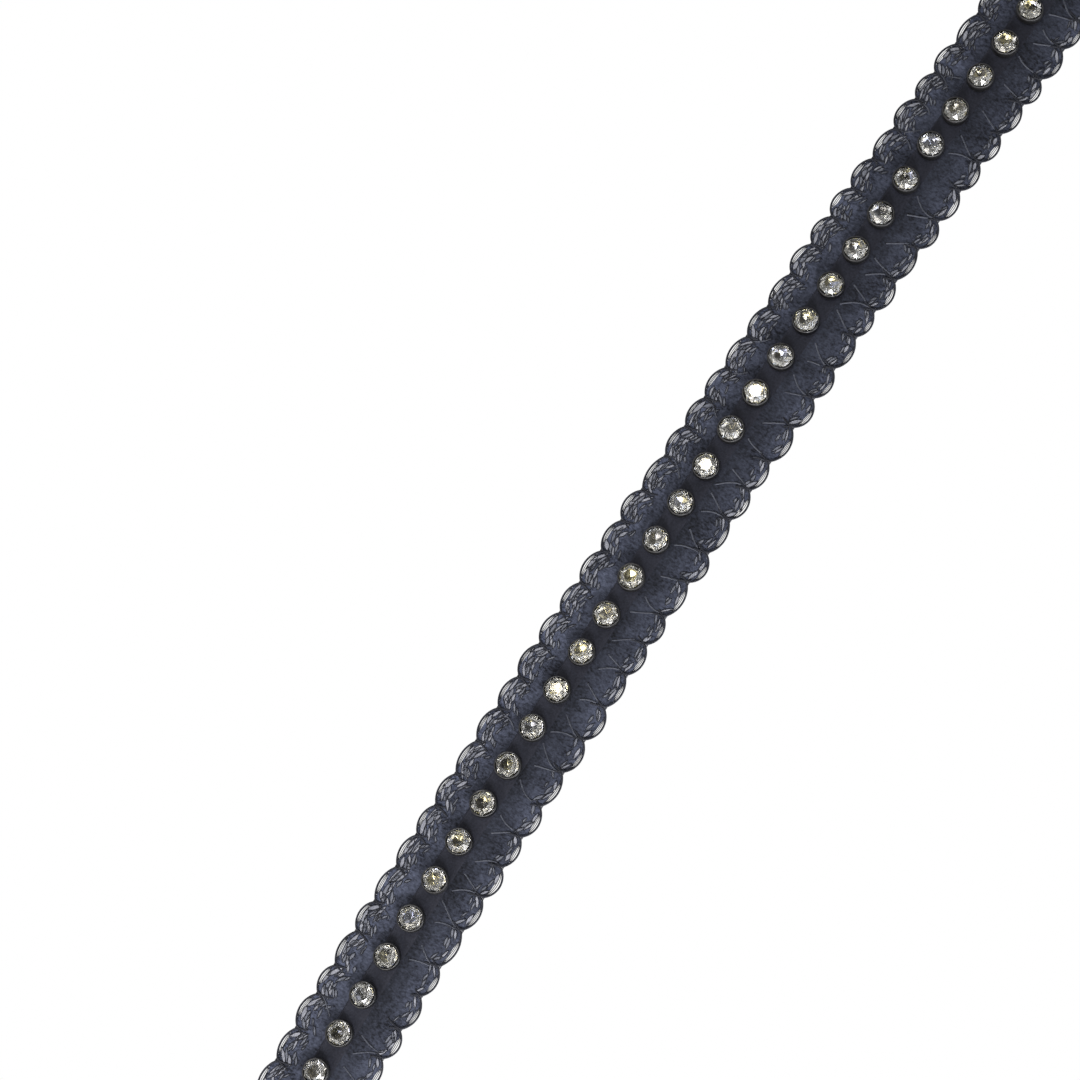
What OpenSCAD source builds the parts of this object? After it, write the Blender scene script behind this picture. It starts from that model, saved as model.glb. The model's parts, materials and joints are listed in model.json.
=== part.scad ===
// Snaffle bridle with a lace and crystal browband, hanging from the poll as it is worn.
// +X is the horse's left, -Y is the front, +Z is up. The origin is where the crown pad rests on the poll.

/* [Crown] */
// Radius of the top of the crown arch
crown_r = 138; // [136:1:139]
// Radius of the shoulders, where the crown turns down
shoulder_r = 65; // [60:1:70]
// Inward slope of the side straps in degrees
slope = 8; // [6:0.5:9]
// Thickness of the crown pad
pad_t = 5.2; // [4:0.1:5.4]
// Thickness of the strap leather
leather_t = 3; // [2.6:0.1:3]

/* [Widths] */
// Width of the cheekpieces
cheek_w = 16; // [14:0.5:16]
// Width of the throatlash
throat_w = 12; // [10:0.5:12]
// Width of the noseband hanger
hanger_w = 12.5; // [11:0.5:12.5]

/* [Browband] */
// Height of the browband's leather
brow_w = 12.4; // [11:0.1:13]
// Half length of its gently curved front
brow_front = 102.8; // [101:0.2:104]
// Radius of its front
brow_r = 420; // [380:10:450]
// Radius of its corners
brow_corner_r = 35; // [34:1:36]
// Distance between crystals
crystal_pitch = 6.25; // [6:0.05:6.5]
// Diameter of a crystal's metal cup
cup_d = 4; // [3.6:0.1:4.2]

/* [Noseband] */
// Height of the padded front of the noseband
nose_front_w = 28; // [24:1:30]
// Height of the noseband's strap
nose_w = 16; // [14:0.5:16]
// Level of the noseband below the poll
nose_drop = 360; // [350:5:370]

/* [Bit] */
// Distance down the side from the shoulder to the bit ring
cheek_l = 350; // [340:5:355]
// Radius of a bit ring, at the middle of its wire
ring_r = 33; // [30:1:36]
// Diameter of the ring's wire
wire_d = 6; // [5:0.5:6]
// Droop of the mouthpiece halves in degrees
droop = 4; // [3:0.5:5]

/* [Throatlash] */
// Backward tilt of the throatlash in degrees
throat_tilt = 16; // [15:1:25]

/* [Hidden] */
$fn = 32;
rad = PI / 180;
fine = 3;                       // degrees of turn between the points of a curve
e = 0.2;                        // gap between pieces that lie on each other

// Layers across a side strap, measured outwards from the inner face
tail_t = 1.5;                   // the skived end that is turned back and sewn down
inner_a = tail_t;               // the lower strap
inner_b = tail_t + leather_t;
bar_r = 1.5;                    // wire of the buckles
bar_d = 2.7;                    // depth of a buckle's bar
outer_a = 5.6;                  // the billet that comes through the buckle
outer_b = 8.4;
buckle_h = 20;                  // between a buckle's two bars
lift_d = outer_b + e + bar_r - bar_d;
buckle_lean = asin(lift_d / buckle_h);
tongue_r = 1.15;
tongue_lean = buckle_lean + asin((bar_r + tongue_r + 0.05) / buckle_h);
step_r = 42;                    // radius of the two bends where a strap steps over another
step_a = acos(1 - (outer_a - inner_a) / 2 / step_r);

// Places across the side, front to back
hanger_y = -26.75;
cheek_y = -8;
throat_y = 9;

// The crown arch from the poll down the left side, as poses [x, z, heading]
crown_turn = 50;
branch_turn = 30;
crown_arcs = [[crown_r * crown_turn * rad, -crown_turn], [shoulder_r * branch_turn * rad, -branch_turn]];
shoulder_turn = 90 + slope - crown_turn - branch_turn;
shoulder_arc = [shoulder_r * shoulder_turn * rad, -shoulder_turn];
crown_path = walk([0, 0, 0], crown_arcs);
branch_start = crown_path[len(crown_path) - 2];
side = last(walk(last(crown_path), [shoulder_arc]));    // where the straight side starts

// Distances down the side from there
loop_t = 15;                    // browband loops
kink_t = 35;                    // where the throatlash billet turns backwards
cheek_bar_t = 62;
cheek_end_t = 132;
hanger_bar_t = 96;
hanger_end_t = 160;
throat_bar_t = 46;
throat_end_t = 96;
hanger_step_t = 60;             // where the unbuckled hanger steps inwards
lap = 7;                        // length of the thinned lap where the throatlash billet joins
lap_t = 1;                      // thickness of each half of it
nose_t = (nose_drop + side[1]) / cos(slope);

// Throatlash: its own tilted plane, hung from the kink
kink = [side[0] - kink_t * sin(slope), throat_y, side[1] - kink_t * cos(slope)];
throat_slope = asin(sin(slope) * cos(throat_tilt));
throat_straight = 122;
throat_bottom_r = 120;
throat_bottom_turn = 40;
throat_end_x = kink[0] - throat_straight * sin(throat_slope);
throat_side_r = (throat_end_x + inner_a * cos(throat_slope) - throat_bottom_r * sin(throat_bottom_turn))
    / (cos(throat_slope) - sin(throat_bottom_turn));

// Browband: plan curve of the inner face, poses [x, y, heading]
brow_turn = brow_front / brow_r / rad;
brow_back = 96;                 // heading of the straight sides
brow_side = 41;
brow_corner = brow_corner_r * (brow_back - brow_turn) * rad;
brow_segs = [[brow_front, brow_turn], [brow_corner, brow_back - brow_turn], [brow_side, 0]];
brow_run = last(walk([0, 0, 0], brow_segs));
loop_z = side[1] - loop_t * cos(slope);
loop_wall = 2.2;
loop_x = side[0] - loop_t * sin(slope) + (outer_a + outer_b) / 2;
loop_in_x = 6.4;
loop_y = (hanger_y - hanger_w / 2 + throat_y + throat_w / 2) / 2;
loop_in_y = throat_y + throat_w / 2 - hanger_y + hanger_w / 2 + 3.2;
brow_y = loop_y - loop_in_y / 2 - loop_wall - 0.6 - brow_run[1];
brow_path = walk([0, brow_y, 0], brow_segs);
lining_t = 1.5;
core_t = 3;
lace_t = 0.5;
lace_w = 14.4;
band_t = 0.4;
band_w = 5.4;
lace_end = 190.5;                 // half length of the lace
crystal_n = 30;                 // crystals on each side of the middle one
cup_t = 1.4;
stone_d = cup_d - 0.8;
brow_face = lining_t + core_t + lace_t + band_t;

// Noseband: one strap that starts at its buckle and goes once round the nose
nose_x = 78.5;
nose_bar_y = 32;
nose_front_y = -36;
nose_back_y = 56;
nose_r1 = 80;
nose_turn1 = 30;
nose_r2 = (nose_x - nose_r1 * sin(nose_turn1)) / (1 - sin(nose_turn1));
nose_r3 = 45;
nose_end_y = 4;
nose_gap = nose_x - nose_r3 - step_r * sin(step_a);
nose_arcs = [[nose_r2 * (90 - nose_turn1) * rad, nose_turn1 - 90],
             [nose_r1 * 2 * nose_turn1 * rad, -2 * nose_turn1],
             [nose_r2 * (90 - nose_turn1) * rad, nose_turn1 - 90]];
nose_start = [nose_x, nose_front_y, -90];
nose_front_path = walk(nose_start, nose_arcs);
nose_back_path = walk(last(nose_front_path), [[nose_back_y - nose_front_y, 0], [nose_r3 * 90 * rad, -90],
    [nose_gap, 0], [step_r * step_a * rad, step_a], [step_r * step_a * rad, -step_a], [nose_gap, 0],
    [(nose_r3 + outer_a - inner_a) * 90 * rad, -90], [nose_back_y - nose_end_y, 0]]);

// Bit
wrap_r = 4.4;                   // inside of the strap's turn round the ring
wrap_d = inner_b - wrap_r - leather_t;
wire_up = 0.5;                  // the wire's rise above the middle of that turn
stud_up = 55 - cheek_l;
bit_x = side[0] + wrap_d * cos(slope) - cheek_l * sin(slope);
bit_top = side[1] - wrap_d * sin(slope) - cheek_l * cos(slope) + wire_up;
ring_z = bit_top - ring_r;
eye_z = ring_z - ring_r;
link_x = 9;                     // half the distance between the link's holes
cannon_l = (bit_x - link_x) / cos(droop);
fork_y = 3.6;

// ---- curves ----
function last(v) = v[len(v) - 1];
function flip(v) = [for (i = [len(v) - 1:-1:0]) v[i]];

// The pose a fraction f along a segment [length, turn] that starts at pose p
function along(p, seg, f) = seg[1] == 0
    ? [p[0] + seg[0] * f * cos(p[2]), p[1] + seg[0] * f * sin(p[2]), p[2]]
    : let (r = seg[0] / (seg[1] * rad), h = p[2] + seg[1] * f)
      [p[0] + r * (sin(h) - sin(p[2])), p[1] - r * (cos(h) - cos(p[2])), h];

// Every pose along a chain of segments
function walk(p, segs, i = 0) = i == len(segs) ? [p]
    : let (n = max(1, ceil(abs(segs[i][1]) / fine)))
      concat([for (k = [0:n - 1]) along(p, segs[i], k / n)], walk(along(p, segs[i], 1), segs, i + 1));

// The pose at a distance s along a chain
function at_length(p, segs, s, i = 0) = s <= segs[i][0] || i == len(segs) - 1
    ? along(p, segs[i], s / segs[i][0])
    : at_length(along(p, segs[i], 1), segs, s - segs[i][0], i + 1);

// Points beside a path, d to the left of its heading
function beside(path, d) = [for (p = path) [p[0] - d * sin(p[2]), p[1] + d * cos(p[2])]];

// The same for a path that starts on the middle plane, with a second one mirrored to the right
function both_sides(left, right, d) = let (v = beside(right, d))
    concat([for (i = [len(v) - 1:-1:1]) [-v[i][0], v[i][1]]], beside(left, d));

// The path over the crown or from just before its end, round the shoulder and on along more segments
function over(segs) = walk([0, 0, 0], concat(crown_arcs, [shoulder_arc], segs));
function branch(segs) = concat([branch_start], walk(last(crown_path), concat([shoulder_arc], segs)));

module ribbon(path, a, b) polygon(concat(beside(path, a), flip(beside(path, b))));
module long_ribbon(left, right, a, b)
    polygon(concat(both_sides(left, right, a), flip(both_sides(left, right, b))));
module full_ribbon(path, a, b) long_ribbon(path, path, a, b);

// Stands a drawing of the x-z plane up, from y0 to y1
module across(y0, y1) translate([0, y1, 0]) rotate([90, 0, 0]) linear_extrude(y1 - y0) children();
// Lays a drawing of the plan at level z, w high
module level(z, w) translate([0, 0, z - w / 2]) linear_extrude(w) children();

module mirrored(right) mirror([right ? 1 : 0, 0, 0]) children();

// ---- frames: x outwards through the layers, y across the strap, z up along it ----
module on_side(right) {
    if (right) mirror([1, 0, 0]) on_side(false) children();
    else translate([side[0], 0, side[1]]) rotate([0, slope, 0]) children();
}
module on_throat(right) {
    if (right) mirror([1, 0, 0]) on_throat(false) children();
    else translate(kink) rotate([throat_tilt, 0, 0]) rotate([0, throat_slope, 0]) children();
}
module on_noseband(y) translate([nose_x, y, -nose_drop]) rotate([-90, 0, 0]) children();

// ---- pieces that every buckled strap has; the origin is on the inner face beside the buckle's bar ----
module buckle(w) {
    half = w / 2 + 0.6 + bar_r;
    color("silver") translate([bar_d, 0, 0]) rotate([0, buckle_lean, 0]) for (z = [0, buckle_h]) {
        translate([0, 0, z]) rotate([90, 0, 0]) cylinder(r = bar_r, h = 2 * half, center = true);
        for (y = [-half, half]) {
            translate([0, y, z]) sphere(r = bar_r);
            translate([0, y, 0]) cylinder(r = bar_r, h = buckle_h);
        }
    }
}
module tongue() {
    color("silver") translate([bar_d, 0, 0]) difference() {
        union() {
            rotate([90, 0, 0]) cylinder(r = bar_r + 1.1, h = 3.6, center = true);
            rotate([0, tongue_lean, 0]) cylinder(r = tongue_r, h = buckle_h + 2.4);
        }
        rotate([90, 0, 0]) cylinder(r = bar_r + 0.06, h = 5, center = true);
    }
}
// The long hole that the tongue comes through
module tongue_slot() {
    lo = 0.5 + 1.6;
    hi = 13 - 1.6;
    for (z = [lo, hi]) translate([0, 0, z]) rotate([0, 90, 0]) cylinder(r = 1.6, h = 20);
    translate([0, -1.6, lo]) cube([20, 3.2, hi - lo]);
}
module holes(from, pitch, n) for (i = [0:n - 1])
    translate([0, 0, from + i * pitch]) rotate([0, 90, 0]) cylinder(r = 1.8, h = 20);
// End of a strap that is turned round the bar and sewn down, as far as z = -tail
module turned_end(w, tail) {
    eye_r = bar_d - 0.02;
    difference() {
        union() {
            across(-w / 2, w / 2) translate([bar_d, 0]) circle(r = eye_r);
            translate([0, -w / 2, -tail]) cube([tail_t, w, tail]);
            translate([inner_a, -w / 2, -tail]) cube([leather_t, w, tail]);
        }
        across(-w, w) translate([bar_d, 0]) circle(r = bar_r + 0.05);
        translate([-1, -2.3, -3.5]) cube([9, 4.6, 7]);
    }
}
// A leather keeper round both layers
module keeper(w, h, gap, a = 0) {
    color("#15161a") translate([0, 0, -h / 2]) linear_extrude(h) difference() {
        translate([a - gap - 1.6, -w / 2 - gap - 1.6]) square([outer_b - a + 2 * gap + 3.2, w + 2 * gap + 3.2]);
        translate([a - gap, -w / 2 - gap]) square([outer_b - a + 2 * gap, w + 2 * gap]);
    }
}

// ---- headpiece ----
module headpiece_strap() color("#15161a") {
    across(-17, 17) full_ribbon(crown_path, outer_a - 0.15, outer_b + 0.15);
    for (right = [false, true]) {
        difference() {
            mirrored(right) across(cheek_y - cheek_w / 2, cheek_y + cheek_w / 2)
                ribbon(branch([[cheek_end_t, 0]]), outer_a, outer_b);
            at_cheek(right, 0) {
                tongue_slot();
                holes(-36, 12, 3);
            }
        }
        mirrored(right) across(throat_y - throat_w / 2, throat_y + throat_w / 2) {
            ribbon(branch([[kink_t - lap, 0]]), outer_a, outer_b);
            ribbon(branch([[kink_t, 0]]), outer_b - lap_t, outer_b);
        }
        on_side(right) translate([outer_b - lap_t + 0.05, throat_y, -kink_t]) rotate([0, 90, 0])
            cylinder(r = throat_w / 2 - 0.15, h = lap_t - 0.1);
    }
}
module throat_billet(right) color("#15161a") on_throat(right) {
    translate([outer_a + 0.05, 0, 0]) rotate([0, 90, 0]) cylinder(r = throat_w / 2 - 0.15, h = lap_t - 0.1);
    translate([outer_a, -throat_w / 2, -lap - 1]) cube([lap_t, throat_w, lap + 1]);
    difference() {
        translate([outer_a, -throat_w / 2, -throat_end_t])
            cube([outer_b - outer_a, throat_w, throat_end_t - lap]);
        translate([0, 0, -throat_bar_t]) tongue_slot();
        translate([0, 0, -throat_bar_t]) holes(-36, 12, 2);
    }
}
module headpiece_pad() color("#202126") across(-36, 19) full_ribbon(crown_path, 0, pad_t);

// ---- cheekpieces ----
module cheek_strap(right) color("#15161a") on_side(right) translate([0, cheek_y, 0]) {
    translate([0, 0, -cheek_bar_t]) turned_end(cheek_w, 34);
    difference() {
        across(-cheek_w / 2, cheek_w / 2) {
            translate([inner_a, -cheek_l]) square([leather_t, cheek_l - cheek_bar_t - 33]);
            difference() {
                translate([wrap_d, -cheek_l]) circle(r = wrap_r + leather_t);
                translate([wrap_d, -cheek_l]) circle(r = wrap_r);
                translate([wrap_d - 20, -cheek_l]) square(40);
            }
            polygon([[wrap_d - wrap_r - leather_t, -cheek_l], [wrap_d - wrap_r, -cheek_l],
                     [inner_a - e, 42 - cheek_l], [inner_a - e - leather_t, 42 - cheek_l]]);
            translate([inner_a - e - leather_t, 41 - cheek_l]) square([leather_t, 30]);
        }
        translate([inner_a - e / 2, 0, stud_up]) rotate([0, -90, 0]) cylinder(r = 1.6, h = 10);
    }
}
module hook_stud(right) color("silver") on_side(right) translate([0, cheek_y, stud_up]) {
    translate([-leather_t - 1.8, 0, 0]) rotate([0, 90, 0]) cylinder(r = 1.5, h = leather_t + 1.8 + inner_a);
    translate([-leather_t - 3, 0, 0]) rotate([0, 90, 0]) cylinder(r = 3.2, h = 1.2);
}
module bit_keeper(right) on_side(right) for (z = [45, 65]) translate([0, cheek_y, z - cheek_l])
    color("#15161a") translate([0, 0, -3.5]) linear_extrude(7) difference() {
        translate([-leather_t - 0.5, -cheek_w / 2 - 1.8]) square([inner_b + leather_t + 2.3, cheek_w + 3.6]);
        translate([inner_a - leather_t - 2 * e, -cheek_w / 2 - e]) square([2 * leather_t + 3 * e, cheek_w + 2 * e]);
    }
module at_cheek(right, z) on_side(right) translate([0, cheek_y, z - cheek_bar_t]) children();

// ---- noseband hanger ----
hanger_right_end = nose_t - hanger_step_t - 2 * step_r * sin(step_a) - 11;
hanger_left_path = over([[hanger_end_t, 0]]);
hanger_right_path = over([[hanger_step_t, 0], [step_r * step_a * rad, -step_a],
    [step_r * step_a * rad, step_a], [hanger_right_end, 0]]);
module hanger_loop() translate([0, hanger_y, -nose_t])
    across(-hanger_w / 2 - 0.5, hanger_w / 2 + 0.5) difference() {
    translate([-8, -12]) square([8 + inner_b, 24]);
    translate([-5.7, -9.7]) square([5.7 + inner_a, 19.4]);
}
module hanger_strap() color("#15161a") {
    difference() {
        across(hanger_y - hanger_w / 2, hanger_y + hanger_w / 2)
            long_ribbon(hanger_left_path, hanger_right_path, outer_a, outer_b);
        at_hanger(0) {
            tongue_slot();
            holes(-30, 10, 2);
        }
    }
    on_side(true) hanger_loop();
}
module hanger_lower_strap() color("#15161a") on_side(false) {
    translate([0, hanger_y, -hanger_bar_t]) turned_end(hanger_w, 30);
    translate([inner_a, hanger_y - hanger_w / 2, -nose_t + 11])
        cube([leather_t, hanger_w, nose_t - 11 - hanger_bar_t - 29]);
    hanger_loop();
}
module at_hanger(z) on_side(false) translate([0, hanger_y, z - hanger_bar_t]) children();

// ---- throatlash ----
throat_bottom = [0, -throat_straight * cos(throat_slope)
    - throat_bottom_r * (1 - cos(throat_bottom_turn))
    - throat_side_r * (cos(throat_bottom_turn) - sin(throat_slope)) - inner_a * sin(throat_slope), 0];
throat_path = walk(throat_bottom, [[throat_bottom_r * throat_bottom_turn * rad, throat_bottom_turn],
    [throat_side_r * (90 - throat_slope - throat_bottom_turn) * rad, 90 - throat_slope - throat_bottom_turn]]);
module throatlash_strap() color("#15161a") {
    translate([0, kink[1], kink[2]]) rotate([throat_tilt, 0, 0])
        across(-throat_w / 2, throat_w / 2) full_ribbon(throat_path, 0, -leather_t);
    for (right = [false, true]) on_throat(right) {
        translate([0, 0, -throat_bar_t]) turned_end(throat_w, 28);
        translate([inner_a, -throat_w / 2, -throat_straight])
            cube([leather_t, throat_w, throat_straight - throat_bar_t - 27]);
    }
}
module at_throat(right, z) on_throat(right) translate([0, 0, z - throat_bar_t]) children();

// ---- noseband ----
module noseband_strap() color("#15161a") {
    level(-nose_drop, nose_front_w) ribbon(nose_front_path, inner_a, inner_b);
    difference() {
        level(-nose_drop, nose_w) ribbon(nose_back_path, inner_a, inner_b);
        on_noseband(nose_bar_y) tongue_slot();
        on_noseband(nose_bar_y) holes(-14, 48, 2);
    }
    on_noseband(nose_bar_y) {
        turned_end(nose_w, 26);
        translate([inner_a, -nose_w / 2, nose_front_y - nose_bar_y])
            cube([leather_t, nose_w, nose_bar_y - nose_front_y - 25]);
    }
}
module noseband_pad() color("#202126")
    level(-nose_drop, nose_front_w - 4) ribbon(nose_front_path, inner_a - 5, inner_a);

// ---- browband ----
module brow_layer(a, b, w) color("#1b1d2b") level(loop_z, w) full_ribbon(brow_path, -a, -b);
lace_path = walk([0, brow_y, 0], [brow_segs[0], brow_segs[1], [lace_end - brow_front - brow_corner, 0]]);
module brow_cover(a, b, w, c) color(c) level(loop_z, w) full_ribbon(lace_path, -a, -b);
module on_browband(s, d) {
    p = at_length([0, brow_y, 0], brow_segs, abs(s));
    mirror([s < 0 ? 1 : 0, 0, 0]) translate([p[0] + d * sin(p[2]), p[1] - d * cos(p[2]), loop_z])
        rotate([0, 0, p[2]]) rotate([90, 0, 0]) children();
}
module browband_cups() color("silver") for (i = [-crystal_n:crystal_n])
    on_browband(i * crystal_pitch, brow_face) difference() {
        cylinder(d = cup_d, h = cup_t);
        translate([0, 0, 0.4]) cylinder(d = stone_d, h = cup_t);
    }
module browband_crystals() color("white") for (i = [-crystal_n:crystal_n])
    on_browband(i * crystal_pitch, brow_face + 0.4) {
        cylinder(d = stone_d, h = 1.1);
        translate([0, 0, 1.1]) cylinder(d1 = stone_d, d2 = stone_d / 2, h = 0.7);
    }
module browband_loop(right) mirror([right ? 1 : 0, 0, 0]) color("#15161a") level(loop_z, brow_w)
    translate([loop_x, loop_y]) difference() {
        square([loop_in_x + 2 * loop_wall, loop_in_y + 2 * loop_wall], center = true);
        square([loop_in_x, loop_in_y], center = true);
    }

// ---- bit ----
module in_bit(right, z) {
    if (right) mirror([1, 0, 0]) in_bit(false, z) children();
    else translate([bit_x, cheek_y, z]) children();
}
module bit_ring(right) color("silver") in_bit(right, ring_z) rotate([0, 90, 0])
    rotate_extrude($fn = 96) translate([ring_r, 0]) circle(d = wire_d);
module bit_cannon(right) color("silver") in_bit(right, eye_z) rotate([0, -droop, 0]) {
    difference() {
        union() {
            rotate([90, 0, 0]) cylinder(r = 7.8, h = 11, center = true);
            translate([-5, 0, 0]) rotate([0, -90, 0]) cylinder(r1 = 7.4, r2 = 5.6, h = cannon_l - 5 - 9);
        }
        rotate([90, 0, 0]) cylinder(r = wire_d / 2 + 1, h = 20, center = true);
    }
    translate([-cannon_l, 0, 0]) {
        rotate([90, 0, 0]) cylinder(r = 2.3, h = 2 * fork_y + 5.6, center = true);
        for (y = [fork_y, -fork_y - 2.8]) {
            translate([0, y, -2.8]) cube([9.5, 2.8, 5.6]);
            translate([0, y + 2.8, 0]) rotate([90, 0, 0]) cylinder(r = 2.8, h = 2.8);
        }
    }
}
module bit_link() color("silver") translate([0, cheek_y, eye_z - cannon_l * sin(droop)]) rotate([90, 0, 0])
    difference() {
        union() {
            for (x = [-link_x, link_x]) translate([x, 0, 0]) cylinder(r = 6.2, h = 6, center = true);
            cylinder(r = 7, h = 6, center = true);
        }
        for (x = [-link_x, link_x]) translate([x, 0, 0]) cylinder(r = 3.8, h = 8, center = true);
    }

headpiece_strap();
headpiece_pad();
cheek_strap(false);  // cheek_strap_left
cheek_strap(true);  // cheek_strap_right
at_cheek(false, 0) buckle(cheek_w);  // cheek_buckle_left
at_cheek(true, 0) buckle(cheek_w);  // cheek_buckle_right
at_cheek(false, 0) tongue();  // cheek_tongue_left
at_cheek(true, 0) tongue();  // cheek_tongue_right
at_cheek(false, -9) keeper(cheek_w, 7, e);  // cheek_keeper_left
at_cheek(true, -9) keeper(cheek_w, 7, e);  // cheek_keeper_right
at_cheek(false, -52) keeper(cheek_w, 7, 0.3, inner_a);  // cheek_runner_left
at_cheek(true, -52) keeper(cheek_w, 7, 0.3, inner_a);  // cheek_runner_right
bit_keeper(false);  // bit_keeper_left
bit_keeper(true);  // bit_keeper_right
hook_stud(false);  // hook_stud_left
hook_stud(true);  // hook_stud_right
throat_billet(false);  // throat_billet_left
throat_billet(true);  // throat_billet_right
hanger_strap();
hanger_lower_strap();
at_hanger(0) buckle(hanger_w);  // hanger_buckle
at_hanger(0) tongue();  // hanger_tongue
at_hanger(-9) keeper(hanger_w, 6, e);  // hanger_keeper
at_hanger(-42) keeper(hanger_w, 6, 0.3, inner_a);  // hanger_runner
throatlash_strap();
at_throat(false, 0) buckle(throat_w);  // throat_buckle_left
at_throat(true, 0) buckle(throat_w);  // throat_buckle_right
at_throat(false, 0) tongue();  // throat_tongue_left
at_throat(true, 0) tongue();  // throat_tongue_right
at_throat(false, -9) keeper(throat_w, 6, e);  // throat_keeper_left
at_throat(true, -9) keeper(throat_w, 6, e);  // throat_keeper_right
noseband_strap();
noseband_pad();
on_noseband(nose_bar_y) buckle(nose_w);  // noseband_buckle
on_noseband(nose_bar_y) tongue();  // noseband_tongue
on_noseband(nose_bar_y - 8) keeper(nose_w, 6, e);  // noseband_keeper
on_noseband(nose_bar_y - 20) keeper(nose_w, 6, 0.3);  // noseband_runner
brow_layer(lining_t, lining_t + core_t, brow_w);  // browband_core
brow_layer(0, lining_t, brow_w);  // browband_lining
brow_cover(lining_t + core_t, lining_t + core_t + lace_t, lace_w, "#262a3d");  // browband_lace
brow_cover(lining_t + core_t + lace_t, brow_face, band_w, "#1b1d2b");  // browband_ribbon
browband_cups();
browband_crystals();
browband_loop(false);  // browband_loop_left
browband_loop(true);  // browband_loop_right
bit_ring(false);  // bit_ring_left
bit_ring(true);  // bit_ring_right
bit_cannon(false);  // bit_cannon_left
bit_cannon(true);  // bit_cannon_right
bit_link();
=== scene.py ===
"""Looks of the snaffle bridle: lace and crystal browband, stitched leather, padding and polished steel."""
import json
import math

import bpy
import numpy as np
from mathutils import Matrix, Vector


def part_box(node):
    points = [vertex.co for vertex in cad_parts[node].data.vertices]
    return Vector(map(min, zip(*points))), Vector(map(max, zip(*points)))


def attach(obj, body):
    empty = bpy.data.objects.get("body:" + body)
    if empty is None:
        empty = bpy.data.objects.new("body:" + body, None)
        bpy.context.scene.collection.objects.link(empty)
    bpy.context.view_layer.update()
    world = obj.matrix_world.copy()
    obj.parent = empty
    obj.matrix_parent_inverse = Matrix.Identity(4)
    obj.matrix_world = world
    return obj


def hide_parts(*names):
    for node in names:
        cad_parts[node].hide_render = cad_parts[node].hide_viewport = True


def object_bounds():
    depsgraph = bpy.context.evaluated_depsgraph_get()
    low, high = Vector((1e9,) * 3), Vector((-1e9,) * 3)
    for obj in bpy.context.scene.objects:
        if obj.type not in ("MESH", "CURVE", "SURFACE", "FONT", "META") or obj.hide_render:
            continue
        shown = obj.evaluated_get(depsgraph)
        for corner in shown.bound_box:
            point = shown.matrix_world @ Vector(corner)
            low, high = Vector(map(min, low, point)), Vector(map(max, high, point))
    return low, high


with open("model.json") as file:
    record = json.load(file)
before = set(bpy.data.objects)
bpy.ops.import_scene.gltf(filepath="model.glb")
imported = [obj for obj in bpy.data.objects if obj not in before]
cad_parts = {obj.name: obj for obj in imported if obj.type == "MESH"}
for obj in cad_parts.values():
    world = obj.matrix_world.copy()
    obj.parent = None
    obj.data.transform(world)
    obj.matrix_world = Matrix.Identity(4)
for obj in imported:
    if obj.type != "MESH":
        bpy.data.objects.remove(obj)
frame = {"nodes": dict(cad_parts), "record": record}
cad_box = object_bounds()
nodes = frame["nodes"]
rng = np.random.default_rng(11)

MM = 0.001
CORE_LOW, CORE_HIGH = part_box("browband_core")
BROW_Z = (CORE_LOW.z + CORE_HIGH.z) / 2 / MM
SHADE_SPAN = 8                      # how far from BROW_Z the fabric's painted shading reaches


# ---------------------------------------------------------------- helpers
def srgb(r, g, b):
    """Linear colour of an sRGB colour given from 0 to 255."""
    def line(c):
        c /= 255
        return c / 12.92 if c <= 0.04045 else ((c + 0.055) / 1.055) ** 2.4
    return (line(r), line(g), line(b), 1.0)


def grey(value):
    """An opaque linear grey."""
    return (value, value, value, 1)


class Route:
    """A flat curve of straights and arcs: steps are (length, turn in degrees) in millimetres."""

    def __init__(self, start, steps):
        self.starts, self.steps = [start], steps
        for step in steps:
            self.starts.append(self._along(self.starts[-1], step, step[0]))
        self.ends = np.cumsum([step[0] for step in steps])

    @staticmethod
    def _along(start, step, s):
        x, y, heading = start
        length, turn = step
        h = math.radians(heading)
        if turn == 0:
            return x + s * math.cos(h), y + s * math.sin(h), heading
        r = length / math.radians(turn)
        h1 = h + s / r
        return (x + r * (math.sin(h1) - math.sin(h)), y - r * (math.cos(h1) - math.cos(h)),
                heading + turn * s / length)

    def at(self, s):
        """Point and heading in radians at each distance in s."""
        out = []
        for one in np.atleast_1d(s):
            i = min(int(np.searchsorted(self.ends, one)), len(self.steps) - 1)
            begun = self.ends[i - 1] if i else 0.0
            x, y, heading = self._along(self.starts[i], self.steps[i], one - begun)
            out.append((x, y, math.radians(heading)))
        return np.array(out).T


def piece(name, verts, faces, material, body, smooth=True):
    """A mesh object from points in metres, riding on a CAD body."""
    mesh = bpy.data.meshes.new(name)
    faces = faces if isinstance(faces, list) else faces.tolist()
    mesh.from_pydata(np.asarray(verts).tolist(), [], faces)
    mesh.polygons.foreach_set("use_smooth", [smooth] * len(mesh.polygons))
    mesh.materials.append(material)
    mesh.update()
    obj = bpy.data.objects.new(name, mesh)
    bpy.context.scene.collection.objects.link(obj)
    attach(obj, body)
    return obj


def grid_faces(rows, across):
    """Faces over rows of points, each row open at both ends."""
    i = np.arange(rows - 1)[:, None] * across
    j = np.arange(across - 1)[None, :]
    return np.stack([i + j, i + across + j, i + across + j + 1, i + j + 1], -1).reshape(-1, 4)


def ring_faces(rings, sides, base=0):
    """Faces between rings of points, each ring closed on itself; base is the first point's number."""
    i = np.arange(rings - 1)[:, None] * sides
    j = np.arange(sides)[None, :]
    k = (j + 1) % sides
    return (base + np.stack([i + j, i + k, i + sides + k, i + sides + j], -1)).reshape(-1, 4)


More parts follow.
